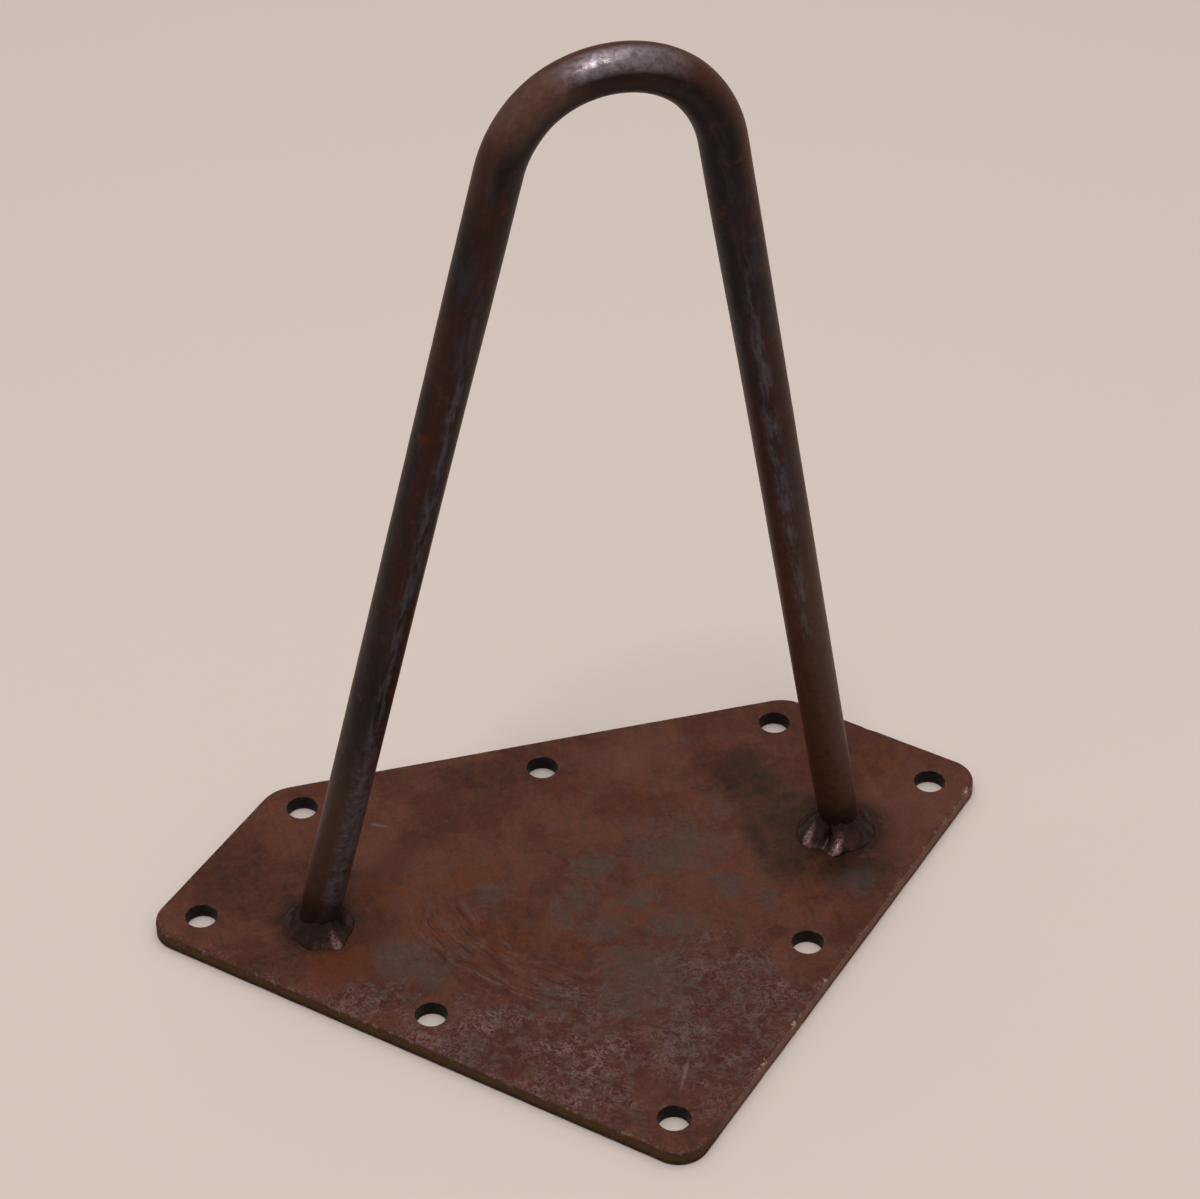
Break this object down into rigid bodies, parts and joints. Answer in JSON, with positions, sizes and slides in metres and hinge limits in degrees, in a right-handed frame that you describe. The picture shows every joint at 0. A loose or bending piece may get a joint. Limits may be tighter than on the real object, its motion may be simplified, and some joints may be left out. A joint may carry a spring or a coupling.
{
  "type": "hairpin table leg",
  "caption": "Short hairpin table leg: one bar bent into a tapering loop and welded at both ends to a five-sided plate with screw holes.",
  "frame": {"origin": "on the plate's mounting face, midway between the rod's two feet", "axes": "+X along the row of feet, -Y towards the plate's square outer corner, +Z from the plate up the leg to the bend that stands on the floor in use"},
  "size_m": [0.2058, 0.1423, 0.257],
  "materials": {
    "plate_steel": "raw hot-rolled steel plate with mill scale and an even brown rust",
    "rod_steel": "raw hot-rolled round bar, dark mill scale with bare worn spots on the bend",
    "weld_metal": "unground weld bead, dull dark brown with a faint shine on its ripples"
  },
  "bodies": {
    "root": {"mounting_plate": "plate_steel", "hairpin_rod": "rod_steel", "weld_right": "weld_metal", "weld_left": "weld_metal"}
  },
  "joints": []
}
